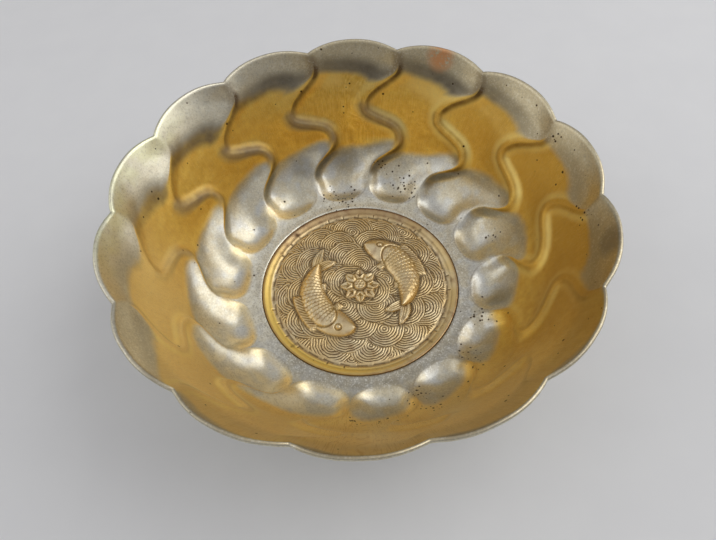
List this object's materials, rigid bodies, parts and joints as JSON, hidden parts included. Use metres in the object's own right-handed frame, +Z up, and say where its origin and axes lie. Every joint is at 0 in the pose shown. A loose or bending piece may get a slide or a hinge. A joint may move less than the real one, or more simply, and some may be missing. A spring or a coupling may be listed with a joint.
{
  "type": "lobed bowl",
  "caption": "Small footed metal bowl with a swirl of hollow S-shaped lobes round its wall, a scalloped rim and a relief disc set into its floor.",
  "frame": {"origin": "centre of the foot ring's underside, on the surface that the bowl stands on", "axes": "+Z up along the bowl's axis, a lobe centred on +Y"},
  "size_m": [0.1244, 0.1258, 0.0473],
  "materials": {
    "shell_metal": "hammered and burnished, silver-toned at the rim, bulbs and floor, gilt in a band round the wall, worn along the crests",
    "gilt_disc": "cast and chased relief, gilt, dark in the engraved lines",
    "soft_solder": "dull grey solder",
    "foot_metal": "worn silver-toned metal with brown patches"
  },
  "bodies": {
    "root": {"bowl_shell": "shell_metal", "relief_disc": "gilt_disc", "disc_solder": "soft_solder", "foot_solder": "soft_solder", "foot_ring": "foot_metal"}
  },
  "joints": []
}
